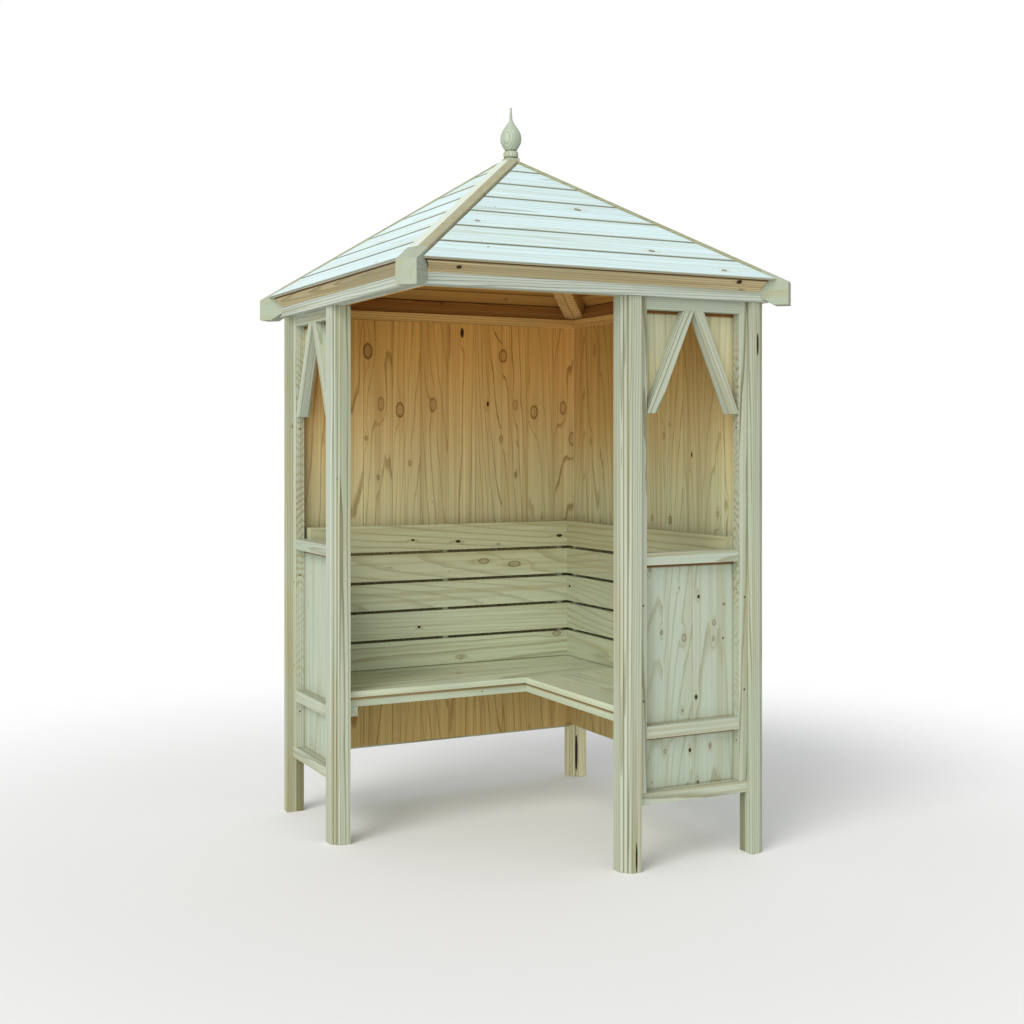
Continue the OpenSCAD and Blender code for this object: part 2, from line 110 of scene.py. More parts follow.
class Value:
    """A number, vector or colour on its way through a node tree."""

    __add__, __radd__ = operator("ADD"), operator("ADD", swapped=True)
    __sub__, __rsub__ = operator("SUBTRACT"), operator("SUBTRACT", swapped=True)
    __mul__, __rmul__ = operator("MULTIPLY"), operator("MULTIPLY", swapped=True)
    __truediv__, __rtruediv__ = operator("DIVIDE"), operator("DIVIDE", swapped=True)
    __gt__, __lt__ = operator("GREATER_THAN"), operator("LESS_THAN")

    def __init__(self, tree, socket):
        self.tree = tree
        self.socket = socket

    def math(self, operation, *others):
        return self.tree.math(operation, self, *others)

    def __neg__(self):
        return self.math("MULTIPLY", -1.0)

    def __abs__(self):
        return self.math("ABSOLUTE")

    def floor(self):
        return self.math("FLOOR")

    def fraction(self):
        return self.math("FRACT")

    def root(self):
        return self.math("SQRT")

    def ramp(self, low, high):
        """0 at low, 1 at high, with a smooth passage; low may be the larger."""
        return self.tree.node("MapRange", {"Value": self, "From Min": low, "From Max": high},
                              interpolation_type="SMOOTHSTEP")


print("a value has", sum(callable(part) for part in vars(Value).values()), "methods")

# %% [markdown]
# `Tree` adds any other node with one method: its kind, the values of its inputs, and its settings.
# The nodes that finishes need again and again, such as noise, have short methods of their own.

# %% Trees
class Tree:
    """A tree of nodes, such as the sky's."""

    def __init__(self, tree):
        self.tree = tree

    def plug(self, socket, value):
        if isinstance(value, Value):
            self.tree.links.new(value.socket, socket)
        else:
            socket.default_value = value

    def node(self, kind, inputs=(), out=0, **settings):
        """Adds a node and gives back its output, which the last node of a tree doesn't have."""
        made = self.tree.nodes.new("ShaderNode" + kind)
        for key, value in settings.items():
            setattr(made, key, value)
        for key, value in dict(inputs).items():
            self.plug(made.inputs[key], value)
        return Value(self, made.outputs[out]) if made.outputs else None

    def math(self, operation, *values):
        return self.node("Math", dict(enumerate(values)), operation=operation)

    def vector(self, x, y, z):
        return self.node("CombineXYZ", {"X": x, "Y": y, "Z": z})

    def noise(self, x, y, z, detail=2.0):
        """A soft random field around 0, from about -0.5 to 0.5, one cell to one unit."""
        inputs = {"Vector": self.vector(x, y, z), "Scale": 1.0, "Detail": detail}
        return self.node("TexNoise", inputs) - 0.5

    def chance(self, place, number):
        """A random number from 0 to 1, the same for the same place and number, which 7.31 and 3.17
        keep from giving equal sums."""
        return self.node("TexWhiteNoise", {"W": place * 7.31 + number * 3.17}, noise_dimensions="1D")

    def mix(self, factor, a, b, blend="MIX"):
        """Colour a where factor is 0, b where it is 1; a Mix node has its colours at inputs 6 and 7."""
        return self.node("Mix", {0: factor, 6: a, 7: b}, out=2, data_type="RGBA", blend_type=blend)

    def multiplied(self, factor, tint, by):
        """tint where factor is 0, tint times `by` where it is 1."""
        return self.mix(factor, tint, self.mix(1.0, tint, by, blend="MULTIPLY"))


print("methods of a tree:", [name for name in vars(Tree) if name[0] != "_"])

# %% [markdown]
# ## Sky
#
# The light is that of a bright, hazy day. A picture of a sky would bring its own clouds and colours
# to the wood, so the sky is one even, faintly blue grey, at the strength at which a colour comes
# out about as it is written. Where the camera, or a mirroring surface, looks past the arbor, the
# sky is plain white: the Light Path node tells such rays from those that only bring light.

# %% Sky
SKY_STRENGTH = 0.56
SKY_TONE = (0.97, 0.985, 1.0, 1.0)
WHITE = (1.0, 1.0, 1.0, 1.0)

world = bpy.data.worlds.new("sky")
world.use_nodes = True
world.node_tree.nodes.clear()
bpy.context.scene.world = world

sky = Tree(world.node_tree)
camera_ray, glossy_ray, clear_ray = (
    sky.node("LightPath", out=f"Is {kind} Ray") for kind in ("Camera", "Glossy", "Transmission"))
looking = camera_ray.math("MAXIMUM", glossy_ray).math("MAXIMUM", clear_ray)
lighting = sky.node("Background", {"Color": SKY_TONE, "Strength": SKY_STRENGTH})
backdrop = sky.node("Background", {"Color": WHITE})
sky.node("OutputWorld", {"Surface": sky.node("MixShader", {0: looking, 1: lighting, 2: backdrop})})
print("sky:", SKY_STRENGTH, "nodes:", len(world.node_tree.nodes))

# %% [markdown]
# ## Sun and bright ground
#
# The left of the roof and the left faces of the posts are the brightest, and the shadows on the
# arbor have no edge. An area lamp would do that too, but it lights the near side more than the far
# side. Two sun lamps light all of it alike: a soft one high on the left, and a very wide one, low in
# front, for the light that bright ground throws back into the shelter.

# %% Sun and bright ground
def sunlight(name, toward, strength, width, tone):
    """A sun lamp that shines from `toward`; width is how wide it looks, in degrees."""
    data = bpy.data.lights.new(name, "SUN")
    data.energy = strength
    data.angle = math.radians(width)
    data.color = tone
    lamp = placed(name, data)
    lamp.rotation_mode = "QUATERNION"
    lamp.rotation_quaternion = Vector(toward).to_track_quat("Z", "Y")
    lamp.location = toward
    print(name, "strength:", strength, "width:", width)


sunlight("sun", toward=(-2.2, -1.1, 2.2), strength=1.15, width=30, tone=(1.0, 0.985, 0.95))
sunlight("glow", toward=(-2.2, -2.4, 0.5), strength=1.55, width=60, tone=(1.0, 0.99, 0.97))

# %% [markdown]
# ## Floor
#
# The arbor has to stand on something, or its feet float. A pale, matt floor keeps its shadow. A
# large sheet would show its far edge as a horizon and a small one its rim, so the floor is a disc
# that grows clear toward its rim, and the white behind it takes over.

# %% Floor
FLOOR_RADIUS = 3.4
FLOOR_FADES_FROM = 1.3
FLOOR_SIDES = 96
FLOOR_BELOW_FEET = 0.0005
FLOOR_TONE = (0.95, 0.95, 0.95, 1.0)

turn = np.linspace(0, 2 * np.pi, FLOOR_SIDES, endpoint=False)
rim = np.stack([FLOOR_RADIUS * np.cos(turn), FLOOR_RADIUS * np.sin(turn), 0 * turn], axis=1)
floor_mesh = bpy.data.meshes.new("floor")
floor_mesh.from_pydata(rim.tolist(), [], [list(range(FLOOR_SIDES))])
floor = placed("floor", floor_mesh)
floor.location.z = -FLOOR_BELOW_FEET
print("floor:", FLOOR_RADIUS, "m from its middle to its rim")

# %% [markdown]
# `Finish` is the tree of one material and ends in the Principled shader. It reads where a point
# lies in the piece itself, so that a pattern stays in the piece when that is seen from behind. The
# floor's finish is one tone, and only reads how far a point is from the middle, to let it grow clear.

# %% Finishes
class Finish(Tree):
    """One material; x, y and z say where a point of the piece lies."""

    def __init__(self, name):
        self.material = bpy.data.materials.new(name)
        self.material.use_nodes = True
        super().__init__(self.material.node_tree)
        self.surface = self.tree.nodes["Principled BSDF"]
        point = self.node("TexCoord", out="Object")
        self.xyz = [self.node("SeparateXYZ", {0: point}, out=i) for i in range(3)]

    def set(self, **values):
        """Sets inputs of the Principled shader; underscores stand for spaces."""
        for key, value in values.items():
            self.plug(self.surface.inputs[key.replace("_", " ")], value)


matt = Finish("floor")
x, y = matt.xyz[:2]
matt.set(Base_Color=FLOOR_TONE, Roughness=0.9, Specular_IOR_Level=0.1,
         Alpha=(x * x + y * y).root().ramp(FLOOR_RADIUS, FLOOR_FADES_FROM))
floor_mesh.materials.append(matt.material)
print("the floor begins to clear", FLOOR_FADES_FROM, "m from its middle")

# %% [markdown]
# ## Knots
#
# A knot is a branch cut across. The rings of the trunk swell round it, it has a dark rim where the
# bark was, and small rings of its own. Discs laid on the wood would look stuck on, since its figure
# would run on under them. Here a knot pushes the rings aside, and all of it comes from one number:
# the distance to its middle, in sizes of the knot.
#
# Most knots fall by chance. A board is cut into equal lengths, and each length gets a knot or not.

# %% Knots by chance
RAGGED_CELLS = 110


def squared(along, across, stretch):
    """(along / stretch)^2 + across^2: the square of a distance that counts less along the grain."""
    return along * along * (1 / stretch ** 2) + across * across


def knot_rings(near, far, ragged):
    """(inside, rim, swelling, d) of a knot. near and far are squared distances in knot sizes.

    d is the root of near, plus a ragged part. inside falls from 1 to 0 at about d = 1, the rim is a
    band round that, and the swelling is e to the power of -far / 2.9."""
    d = near.root() + ragged
    rim = d.ramp(0.7, 0.95) * d.ramp(1.25, 1.05)
    return d.ramp(1.1, 0.8), rim, (far / -2.9).math("EXPONENT"), d


def chance_knots(finish, lie, look, seed):
    """Knots strewn over a board: one place for each length `every`, taken with chance `share`."""
    every = look["every"]
    shift = finish.chance(lie["board"], seed + 0.7) * 9
    number = (lie["along"] / every + shift).floor()
    dice = [finish.node("TexWhiteNoise", {"Vector": finish.vector(number, lie["board"], seed + k)},
                        noise_dimensions="3D") for k in range(4)]
    along = lie["along"] - (number + 0.25 + dice[0] * 0.5 - shift) * every
    across = lie["across"] - (dice[1] - 0.5) * look["width"] * 0.75
    size = look["knot"] * (0.35 + dice[2] * dice[2] * 1.1)
    scale = size * size
    ragged = finish.noise(along * RAGGED_CELLS, across * RAGGED_CELLS, 0.0, detail=1.0) * 0.5
    inside, rim, swelling, d = knot_rings(
        squared(along, across, 1.4) / scale, squared(along, across, 3.0) / scale, ragged)
    here = dice[3] < look["share"]
    return inside * here, rim * here, swelling * here * size, d


print("the rim of a knot lies at d = 0.7 to 1.25")

# %% [markdown]
# Some knots and cracks are landmarks: the eyes with a thin dark rim on the walls, a few black ones,
# and the long cracks in the posts. Chance would put them elsewhere, so these are given one by one.
# A crack is a black knot drawn out ten or twenty times along the grain.

# %% Knots in places of their own
SWELL = 0.9
MARKED_RAGGED_CELLS = 90


def marked_knots(finish, lie, marks):
    """Knots from a list: (along, across on the piece, size, darkness, stretch) each.

    The nearest one counts: the smallest squared distance, each in sizes of its own knot."""
    near, far, dark = 1e6, 1e6, 0.0
    place = lie.get("place", lie["along"])
    for mark_along, mark_across, size, darkness, stretch in marks:
        along, across = place - mark_along, lie["face"] - mark_across
        this = squared(along, across, stretch) * size ** -2
        closer = this < near
        dark = dark + (darkness - dark) * closer
        near = this.math("MINIMUM", near)
        far = (squared(along, across, stretch * 2) * size ** -2).math("MINIMUM", far)
    ragged = finish.noise(lie["along"] * MARKED_RAGGED_CELLS, lie["face"] * MARKED_RAGGED_CELLS, 0.0,
                          detail=1.0) * 0.35
    return (*knot_rings(near, far, ragged), dark)


def all_knots(finish, lie, look, seed, marks):
    """Both kinds together: how far a point is inside a knot, how dark it is there, how much the
    rings swell, how much warmer the wood is, and d."""
    inside, rim, swelling, d = chance_knots(finish, lie, look, seed)
    swell = swelling * SWELL
    dark = rim * look["bark"]
    warmth = swelling / look["knot"]
    if marks:
        spot, spot_rim, spot_swelling, spot_d, spot_dark = marked_knots(finish, lie, marks)
        swell = swell + spot_swelling * look["knot"] * SWELL
        inside = inside.math("MAXIMUM", spot)
        d = d.math("MINIMUM", spot_d)
        filled = spot * spot_dark.ramp(0.6, 0.95)
        dark = dark.math("MAXIMUM", spot_rim * spot_dark).math("MAXIMUM", filled)
        warmth = warmth + spot_swelling
    return inside, dark, swell, warmth, d


print("a knot lifts the rings round it by up to", SWELL, "of its size")

# %% [markdown]
# ## Growth rings
#
# A tree lays down a ring a year: pale early wood, then a thin darker line of late wood. A
# photographed texture would show the same board again and again, and the wrong figure on edges and
# ends. A board is a straight cut through the rings, so the figure follows from where it lay in the
# trunk, and the finish reckons the same way: the distance from the pith, a line that runs near the
# board and not quite parallel to it, divided by the width of a ring. The fraction says how far the
# year had gone. Faces then show long pointed arches, edges show lines, and ends show arcs.

# %% Distance from the pith
LEAN = 0.05
BEND_CELLS = (1.6, 11)
SHAKE_CELLS = (7, 70)
SHAKE = 0.0014


def drawn_out(finish, lie, cells, start=0.0, shift=0.0, detail=2.0):
    """A random field drawn out along the grain: cells is how many go to a metre along the grain and
    how many across. start and shift move it along the grain and into the depth."""
    along, across = cells
    return finish.noise(lie["along"] * along + start, lie["across"] * across,
                        lie["depth"] * across + shift, detail=detail)


def pith_distance(finish, lie, look, dice):
    """(distance, bend) of a point. The pith passes beside the board and behind its face, at places
    taken by chance that drift along the grain. The distance is the root of the two squares added,
    plus a slow bend and a fine shake."""
    beside = (dice[0] - 0.5) * look["width"] * look["aside"] + lie["along"] * (dice[1] - 0.5) * LEAN
    behind = look["heart"] * (0.45 + dice[2]) + lie["along"] * (dice[3] - 0.5) * LEAN
    u = lie["across"] - beside
    w = lie["depth"] + behind
    bend = drawn_out(finish, lie, BEND_CELLS, start=dice[4] * 30, shift=dice[5] * 9)
    shake = drawn_out(finish, lie, SHAKE_CELLS, shift=dice[4] * 9)
    return (u * u + w * w).root() + bend * look["bend"] + shake * SHAKE, bend


print("the pith leans by up to", LEAN * 500, "mm in a metre")

# %% [markdown]
# The finish then lays one colour over the other: early and late wood, warm streaks, green stains
# from the treatment, the warm wood round a knot, the knot, its black rim. Fibres and lines along the
# grain make it lighter and darker. Late wood stands up a little and shines a little more. Such
# ridges are far too fine for a mesh, and a Bump node is enough for them.

# %% Wood
FIBRE_CELLS = (22, 900)
STREAK_CELLS = (0.9, 48)
LINE_CELLS = (1.3, 170)
STAIN_CELLS = 3.1
KNOT_OWN_RINGS = 3.5
RIDGE = 0.0006


def wood(name, lie_of, look, seed, marks=()):
    """The finish of one piece of wood.

    lie_of(x, y, z) tells where a point is: along the grain, across its board, its depth in the
    piece, which board it is on, and face, its place across the whole piece. look holds the colours
    and sizes."""
    finish = Finish(name)
    x, y, z = finish.xyz
    lie = lie_of(x, y, z)
    dice = [finish.chance(lie["board"], seed + k) for k in range(9)]
    inside, dark, swell, warmth, d = all_knots(finish, lie, look, seed, marks)

    distance, bend = pith_distance(finish, lie, look, dice)
    year = ((distance + swell) / (look["ring"] * (0.75 + dice[6] * 0.6))).fraction()
    late = year.ramp(look["line"], 0.93) * year.ramp(1.0, 0.96)
    strength = look["figure"] * (0.8 + bend * 0.8) * (0.7 + dice[7] * 0.6)
    fibre = drawn_out(finish, lie, FIBRE_CELLS, detail=1.0)
    streak = drawn_out(finish, lie, STREAK_CELLS, start=dice[5] * 20, detail=1.5)
    lines = drawn_out(finish, lie, LINE_CELLS, shift=dice[3] * 7)
    stain = finish.noise(x * STAIN_CELLS + dice[8] * 5, y * STAIN_CELLS, z * STAIN_CELLS)
    knot_ring = (d * KNOT_OWN_RINGS).fraction().ramp(0.3, 0.7)

    tint = finish.mix(late * strength, look["early"], look["late"])
    tint = finish.mix((streak + 0.02).ramp(0.0, 0.22) * look["streak"], tint, look["warm"])
    tint = finish.mix(stain.ramp(-0.05, 0.25) * look["stain"], tint, look["cool"])
    tint = finish.mix(warmth.ramp(0.05, 0.9) * 0.35, tint, look["warm"])
    knot = finish.mix(knot_ring, look["knot_pale"], look["knot_dark"])
    tint = finish.mix(inside * look["inside"], tint, knot)
    tint = finish.mix(dark, tint, look["black"])
    value = 1.0 + look["vary"] * (dice[8] - 0.5) + fibre * look["fibre"] + lines * look["lines"]
    value = value * lie.get("shade", 1.0)
    tint = finish.mix(1.0, tint, finish.vector(value, value, value), blend="MULTIPLY")
    if "tone" in look:
        tint = look["tone"](finish, tint, x, y, z, lie)

    height = late * 0.6 + fibre * 0.8 - inside * 0.5
    bump = finish.node("Bump", {"Height": height, "Strength": 0.25, "Distance": RIDGE})
    finish.set(Base_Color=tint, Roughness=0.78 - late * 0.12 - inside * 0.1, Normal=bump)
    finish.set(Specular_IOR_Level=0.28)
    return finish.material


print("fibres to the metre, along and across:", FIBRE_CELLS)

# %% [markdown]
# ## Where things are
#
# Joints, shaded corners and grooves have to fall on the built pieces. Their places could be copied
# from the drawing, but the pieces are here, so most are read from their boxes. The left side of the
# arbor is the right side seen in a mirror that stands on the line x = y, so one side is enough.

# %% Places
POST_LOW, POST_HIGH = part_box("post_front_right")
POST = POST_HIGH[0] - POST_LOW[0]
PANEL_IN, PANEL_OUT = POST_HIGH[0], -POST_HIGH[1]
RAIL_LOW, RAIL_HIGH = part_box("panel_r_arm_rail")
STILE_IN, STILE_OUT = RAIL_LOW[0], RAIL_HIGH[0]
FRAME_FACE, BOARD_FACE = -RAIL_LOW[1], -RAIL_HIGH[1]
ARM_UNDER = RAIL_LOW[2]
TOP_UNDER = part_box("panel_r_top_rail")[0][2]
LOWER_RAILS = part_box("panel_r_lower_rails")
RAIL = RAIL_HIGH[2] - RAIL_LOW[2]
LOW_RAIL_TOP, MID_RAIL_TOP = LOWER_RAILS[0][2] + RAIL, LOWER_RAILS[1][2]
MID_RAIL_UNDER = MID_RAIL_TOP - RAIL
WALL_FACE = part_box("wall_a_boards")[0][1]
BENCH_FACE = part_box("seat_a_frame")[0][1]
print("post:", round(POST, 4), "panel opening:", round(STILE_IN, 4), "to", round(STILE_OUT, 4))
print("rails:", [round(v, 4) for v in (LOW_RAIL_TOP, MID_RAIL_UNDER, MID_RAIL_TOP, ARM_UNDER, TOP_UNDER)])

# %% [markdown]
# ## How the grain lies in each piece
#
# Grain always runs the long way of a piece: up in the posts and the wall boards, level in the rails
# and the bench, down the hips in the hip caps. To lay a picture on them, each would have to be
# unfolded. Instead, each function below turns the place of a point into the numbers that `wood`
# needs. A straight bar and a row of boards side by side cover most of the arbor.

# %% Straight bars and rows of boards
GROOVE_FROM, GROOVE_TO = 0.0022, 0.0002


def middle(node):
    low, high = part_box(node)
    return (low + high) / 2


def straight(node, run, face=None):
    """A single straight bar whose grain runs along axis `run`.

    Marked knots are placed along axis `face`, or else across the wider side."""
    low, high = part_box(node)
    size, mid = high - low, middle(node)
    sides = sorted((a for a in range(3) if a != run), key=lambda a: -size[a])

    def lie(*p):
        return {"along": p[run] - mid[run], "across": p[sides[0]] - mid[sides[0]],
                "depth": p[sides[1]] - mid[sides[1]], "board": 0.0, "place": p[run],
                "face": p[sides[0] if face is None else face]}
    return lie


def rows(run, side, face, start, pitch, joint=0.0):
    """Boards side by side along axis `side`, each `pitch` wide, the first one from `start`.

    joint paints the grooves between them lighter, painted light against their shade, or darker,
    painted shade, where it is less than 0."""
    def lie(*p):
        place = (p[side] - start) / pitch
        board = place.floor()
        across = (place - board - 0.5) * pitch
        made = {"along": p[run], "across": across, "depth": p[face], "board": board, "face": p[side]}
        if joint:
            groove = abs(across).ramp(pitch / 2 - GROOVE_FROM, pitch / 2 + GROOVE_TO)
            made["shade"] = 1.0 + groove * joint
        return made
    return lie


print("the right post's middle:", [round(v, 4) for v in middle("post_right")])

# %% [markdown]
# The frames of the walls and of the bench are bars one way with bars the other way at both ends,
# and a bracket slants from the stile up to the top rail. What is known on one side is used on the
# others by changing places: mirrored for the left side, turned by quarters round the roof.

# %% Frames, brackets, mirrors and turns
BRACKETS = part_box("panel_r_brackets")
BRACKET_RISE = BRACKETS[1][2] - BRACKETS[0][2]
BRACKET_REACH = 0.1325
BRACKET_LINE = 0.66
PANEL_MIDDLE = (STILE_IN + STILE_OUT) / 2
FRAME_MIDDLE = (FRAME_FACE + BOARD_FACE) / 2
CROSS_CUT = 0.37


def crossed(run_in, run_out, side, face, half):
    """Bars along `run_in`, with bars along `run_out` at both ends, further out than `half`."""
    def lie(*p):
        out = abs(p[side]) > half
        return {"along": p[run_in] + (p[run_out] - p[run_in]) * out,
                "across": p[run_out] * CROSS_CUT + (p[run_in] - p[run_out] * CROSS_CUT) * out,
                "depth": p[face], "board": (p[run_out] * 2.2).floor() + out * (p[side] > 0.0) * 9,
                "face": p[side]}
    return lie


def slanting(x, y, z):
    """A bracket: its grain runs from its foot at the stile up to the middle of the top rail."""
    length = math.hypot(BRACKET_RISE, BRACKET_REACH)
    m = abs(x - PANEL_MIDDLE)
    return {"along": (z * BRACKET_RISE - m * BRACKET_REACH) / length,
            "across": (m * BRACKET_RISE + z * BRACKET_REACH) / length - BRACKET_LINE,
            "depth": y + FRAME_MIDDLE, "board": x > PANEL_MIDDLE, "face": x}


def mirrored(lie):
    """The same lie on the other side of the line x = y."""
    def turned_lie(x, y, z):
        return lie(y, x, z)
    return turned_lie


def quarter(lie, turns):
    """The same lie on a piece turned by that many quarter turns about the vertical."""
    def turned_lie(x, y, z):
        for _ in range(turns):
            x, y = y, -x
        return lie(x, y, z)
    return turned_lie


slope = math.degrees(math.atan(BRACKET_REACH / BRACKET_RISE))
print("the brackets lean by", round(slope, 1), "degrees")

# %% [markdown]
# On the roof the grain follows the slope. The boards are level and lie one above the other, so a
# point's board follows from its distance down the slope; the height in the course is kept too,
# for the painted shadow under each lip. The hip caps run down the hips, where two slopes meet.

# %% Roof pieces
PITCH = math.radians(34.5)
PEAK = 2.2256
COURSE = 0.0908 / math.cos(PITCH)
DECK = 0.641 / math.cos(PITCH)
HIP_MIDDLE = 2.2
TAIL_MIDDLE = 1.77


def down_slope(x, y, z):
    """A lapped roof board: the grain is level, the boards lie one above the other."""
    down = -(y * math.cos(PITCH) + (z - PEAK) * math.sin(PITCH))
    place = (DECK - down) / COURSE
    board = place.floor()
    return {"along": x, "across": (place - board - 0.5) * COURSE, "board": board,
            "depth": (z - PEAK) * math.cos(PITCH) - y * math.sin(PITCH), "face": x,
            "low_edge": (place - board) * COURSE}


def down_hip(x, y, z):
    """A hip cap: the grain runs down the hip that falls toward -X and -Y."""
    fall = math.tan(PITCH)
    length = math.sqrt(2 + fall * fall)
    return {"along": (-(x + y) - z * fall) / length, "across": (x - y) / math.sqrt(2),
            "depth": (z - HIP_MIDDLE) * 0.9, "board": 0.0, "face": x}


def under_hip(x, y, z):
    """A rafter pair on the front side: as the hip caps, to the left and to the right."""
    return down_hip(-abs(x), y, z)


def outward(x, y, z):
    """A hip tail: a short block whose end grain faces outward."""
    return {"along": (x + y) / math.sqrt(2), "across": (x - y) / math.sqrt(2),
            "depth": z - TAIL_MIDDLE, "board": 0.0, "face": x}


print("courses:", round(COURSE * 1000, 1), "mm each,", math.floor(DECK / COURSE), "up a slope")

# %% [markdown]
# ## Colours
#
# Shaders reckon with linear colours, in which half the light is half the number. Those are hard to
# judge by eye, because a middle grey is only about a fifth of white. So each colour is written as it
# looks on a screen, and turned into a linear one here.

# %% Colours
def colour(red, green, blue):
    """Screen numbers from 0 to 255 as the linear colour that shaders reckon with.

    Of c / 255, dark tones are divided by 12.92, and lighter ones raised to the power 2.4."""
    def linear(c):
        c /= 255
        return c / 12.92 if c <= 0.04045 else ((c + 0.055) / 1.055) ** 2.4
    return (linear(red), linear(green), linear(blue), 1.0)


print("a middle grey of 128 is", round(colour(128, 128, 128)[0], 3), "of white")

# %% [markdown]
# The wood is pressure-treated pine: cream with a breath of green. One look holds its colours and
# the sizes of its figure in metres, and every other look is written as its changes from that one.
# To give each piece a full set of its own would hide how alike they are.

# %% Pine
def changed(look, **changes):
    """A look that differs from another in some values; three screen numbers stand for a colour."""
    return {**look, **{key: colour(*value) if isinstance(value, tuple) else value
                       for key, value in changes.items()}}


PINE = changed({}, early=(184, 191, 171), late=(122, 120, 86), warm=(156, 148, 110), cool=(164, 180, 162),
               black=(44, 28, 16), knot_pale=(150, 116, 70), knot_dark=(112, 78, 42), width=0.062,
               aside=2.2, heart=0.05, ring=0.0065, line=0.58, bend=0.010, figure=0.85, streak=0.6,
               lines=0.3, stain=0.4, vary=0.08, fibre=0.14, inside=0.7, bark=0.55, every=0.42,
               share=0.05, knot=0.004)
print("a look has", len(PINE), "values; a ring of pine is", PINE["ring"] * 1000, "mm wide")

# %% [markdown]
# ## Walls
#
# The boards under the roof are painted a warm brown for the shade there, the more the higher up
# they are, and again under the seat: painted shade. A gradient on the whole arbor would tint the
# outside too. A look may therefore have a tone: a function that changes the tint by where a point
# lies. Here it stops behind the face of the wall.

# %% Walls
BOARD = 0.1106
CORNER_BOARD = 0.087
BEHIND_FACE = 0.005
BROWN_FROM, BROWN_TO = 0.95, 1.75
UNDER_SEAT_FROM, UNDER_SEAT_TO = 0.50, 0.44


def indoors(x, y, limit):
    """1 for what faces the room under the roof, 0 for what faces outward."""
    return abs(x).math("MAXIMUM", abs(y)).ramp(limit + 0.0005, limit - 0.0005)


def sheltered(finish, tint, x, y, z, lie):
    """Painted shade: brown under the roof and under the seat; what faces outward is greener."""
    inside = indoors(x, y, WALL_FACE + BEHIND_FACE)
    high = z.ramp(BROWN_FROM, BROWN_TO) * inside
    low = z.ramp(UNDER_SEAT_FROM, UNDER_SEAT_TO) * inside
    # painted shade: brown high up under the roof, and again under the seat
    tint = finish.multiplied(high, tint, (1.42, 0.88, 0.40, 1.0))
    tint = finish.multiplied(low, tint, (1.0, 0.76, 0.52, 1.0))
    return finish.multiplied(1.0 - inside, tint, (0.94, 1.0, 1.14, 1.0))


def sheltered_side(finish, tint, x, y, z, lie):
    """The wall that the sun never reaches, with painted shade and painted light: browner than the
    other toward the inner corner, paler by the window, and darker at the top."""
    tint = sheltered(finish, tint, x, y, z, lie)
    # painted shade toward the inner corner and at the top, painted light by the window
    corner = y.ramp(-0.1, 0.25)
    tint = finish.multiplied(z.ramp(1.1, 1.4) * corner, tint, (0.90, 0.76, 0.52, 1.0))
    tint = finish.multiplied(1.0 - corner, tint, (1.03, 1.08, 1.12, 1.0))
    top = finish.mix(corner, (0.78, 0.78, 0.80, 1.0), (0.84, 0.96, 1.35, 1.0))
    return finish.multiplied(z.ramp(1.15, 1.7), tint, top)


WALL = changed(PINE, early=(196, 190, 146), late=(136, 116, 70), warm=(176, 160, 112),
               cool=(184, 184, 140), knot_pale=(184, 160, 108), knot_dark=(140, 108, 62),
               width=BOARD, aside=2.6, heart=0.11, ring=0.0046, line=0.8, bend=0.004, figure=0.8,
               streak=0.5, lines=0.7, inside=0.45, every=0.34, share=0.25, knot=0.005, stain=0.15,
               tone=sheltered, vary=0.06)
# The second wall gets the painted shade and light of the side wall.
WALL_B = changed(WALL, early=(190, 190, 150), figure=0.7, tone=sheltered_side)
# The ring is painted paler than pine: painted light. Inside, it takes the painted shade of the walls.
RING = changed(PINE, tone=sheltered, early=(202, 204, 180))
print("wall boards:", BOARD, "m wide, face at", round(WALL_FACE, 4), "m")

# %% [markdown]
# ## Side panels
#
# The panel boards sit behind a frame. Where they meet it the boards are painted brown, most of all
# under a rail: painted shade and shadow. The inner side of each stile shows the ripples that the saw
# has left. A painted shadow has no depth and a ripple hardly any, so both are tones as well.

# %% Side panels
PAINTED_SHADE_DEPTH = (0.003, 0.0015)
SAW_TEETH = 240


def nearest(at, edges):
    """The distance to the nearest of several edges."""
    found = 1.0
    for edge in edges:
        found = abs(at - edge).math("MINIMUM", found)
    return found


def framed(finish, tint, x, y, z, lie):
    """Panel boards: brown where they meet the frame in front of them, most of all under a rail:
    painted shade, and painted shadow under the rails.
    """
    beside = nearest(lie["face"], (STILE_IN, STILE_OUT))
    beside = beside.math("MINIMUM", nearest(z, (LOW_RAIL_TOP, MID_RAIL_TOP)))
    front = lie["depth"].ramp(PAINTED_SHADE_DEPTH[0] - BOARD_FACE, PAINTED_SHADE_DEPTH[1] - BOARD_FACE)
    # painted shade where the boards meet the stiles and the lower rails
    tint = finish.multiplied(beside.ramp(0.009, 0.001) * front * 0.45, tint, colour(190, 158, 100))
    # painted shadow under the rails
    under = nearest(z, (MID_RAIL_UNDER, ARM_UNDER, TOP_UNDER))
    return finish.multiplied(under.ramp(0.014, 0.007) * front, tint, colour(164, 108, 56))


def sawn(finish, tint, x, y, z, lie):
    """Stile: saw ripples on its inner side, as a sine of the height that drifts, in places only,
    and painted shade in the joint to the post."""
    side = abs(lie["face"] - STILE_OUT).ramp(0.0012, 0.0006)
    drift = finish.noise(x * 30, y * 30, z * 7)
    ripple = (z * SAW_TEETH + drift * 26).math("SINE") * 0.5 + 0.5
    places = finish.noise(1.7, 2.3, z * 3.2).ramp(-0.12, 0.2)
    tint = finish.multiplied(side * ripple.ramp(0.4, 1.0) * places * 0.6, tint, colour(206, 184, 134))
    # painted shade in the gap between the stile and the post
    joint = nearest(lie["face"], (PANEL_IN, PANEL_OUT)).ramp(0.003, 0.001)
    return finish.multiplied(joint, tint, colour(150, 138, 100))


